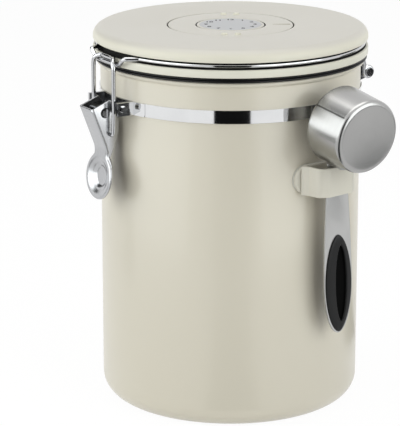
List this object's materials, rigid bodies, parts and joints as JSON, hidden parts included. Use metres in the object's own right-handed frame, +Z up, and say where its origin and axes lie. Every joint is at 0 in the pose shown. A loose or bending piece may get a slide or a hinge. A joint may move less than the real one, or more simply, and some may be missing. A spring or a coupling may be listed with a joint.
{
  "type": "coffee canister",
  "caption": "Round lidded steel canister with a one-way gas valve and date dial in the lid, a wire-bail lever latch, a rear wire hinge and a clip-on scoop.",
  "frame": {"origin": "centre of the flat underside, on the table", "axes": "+Z up along the canister's axis; -Y is the side with the lever latch, +Y the side with the lid's hinge; the scoop hangs near +X"},
  "size_m": [0.1553, 0.1499, 0.1766],
  "materials": {
    "cream_paint": "smooth satin cream paint on steel",
    "cream_plastic": "cream moulded plastic, light gloss",
    "steel_sheet": "bright rolled stainless sheet",
    "steel_wire": "bright drawn stainless wire and pins",
    "black_rubber": "black satin rubber",
    "label_film": "pale grey printed film",
    "clear_silicone": "milky silicone",
    "felt": "white pressed felt",
    "foam_tape": "white foam mounting tape",
    "brushed_scoop": "fine brushed stainless"
  },
  "bodies": {
    "canister": {"canister_body": "cream_paint", "clamp_band": "steel_sheet", "latch_bracket": "steel_sheet", "band_screws": "steel_wire", "band_nuts": "steel_wire", "lever_pin": "steel_wire", "hinge_bracket": "steel_sheet", "hinge_pin": "steel_wire", "scoop_holder": "cream_plastic", "holder_tape": "foam_tape"},
    "lid": {"lid_cover": "cream_plastic", "lid_base": "cream_plastic", "lid_gasket": "black_rubber", "lid_wire": "steel_wire", "dial_hub": "cream_plastic", "dial_label": "label_film", "valve_filter": "felt", "valve_cap": "cream_plastic"},
    "date_ring": {"date_ring": "cream_plastic"},
    "valve_flap": {"valve_flap": "clear_silicone"},
    "lever": {"lever": "steel_sheet"},
    "bail": {"bail_wire": "steel_wire"},
    "scoop": {"scoop_cup": "brushed_scoop", "scoop_handle": "brushed_scoop", "scoop_grip": "black_rubber"}
  },
  "joints": [
    {"name": "lid_hinge", "type": "hinge", "parent": "canister", "child": "lid", "pos_m": [0, 0.0705, 0.1478], "axis": [-1, 0, 0], "range_deg": [0, 105]},
    {"name": "lever_pivot", "type": "hinge", "parent": "canister", "child": "lever", "pos_m": [0, -0.0692, 0.1433], "axis": [-1, 0, 0], "range_deg": [0, 120]},
    {"name": "bail_pivot", "type": "hinge", "parent": "lever", "child": "bail", "pos_m": [0, -0.067, 0.1334], "axis": [-1, 0, 0], "range_deg": [-138, 0]},
    {"name": "date_turn", "type": "hinge", "parent": "lid", "child": "date_ring", "pos_m": [0, 0, 0.1747], "axis": [0, 0, 1], "continuous": true},
    {"name": "valve_lift", "type": "slide", "parent": "lid", "child": "valve_flap", "axis": [0, 0, 1], "range_m": [0, 0.0005]},
    {"name": "scoop_lift", "type": "slide", "parent": "canister", "child": "scoop", "axis": [0.0067, -0.0343, 0.9994], "range_m": [0, 0.095]}
  ],
  "couplings": [
    {"joint": "bail_pivot", "follows": "lever_pivot", "ratio": -1.15}
  ]
}
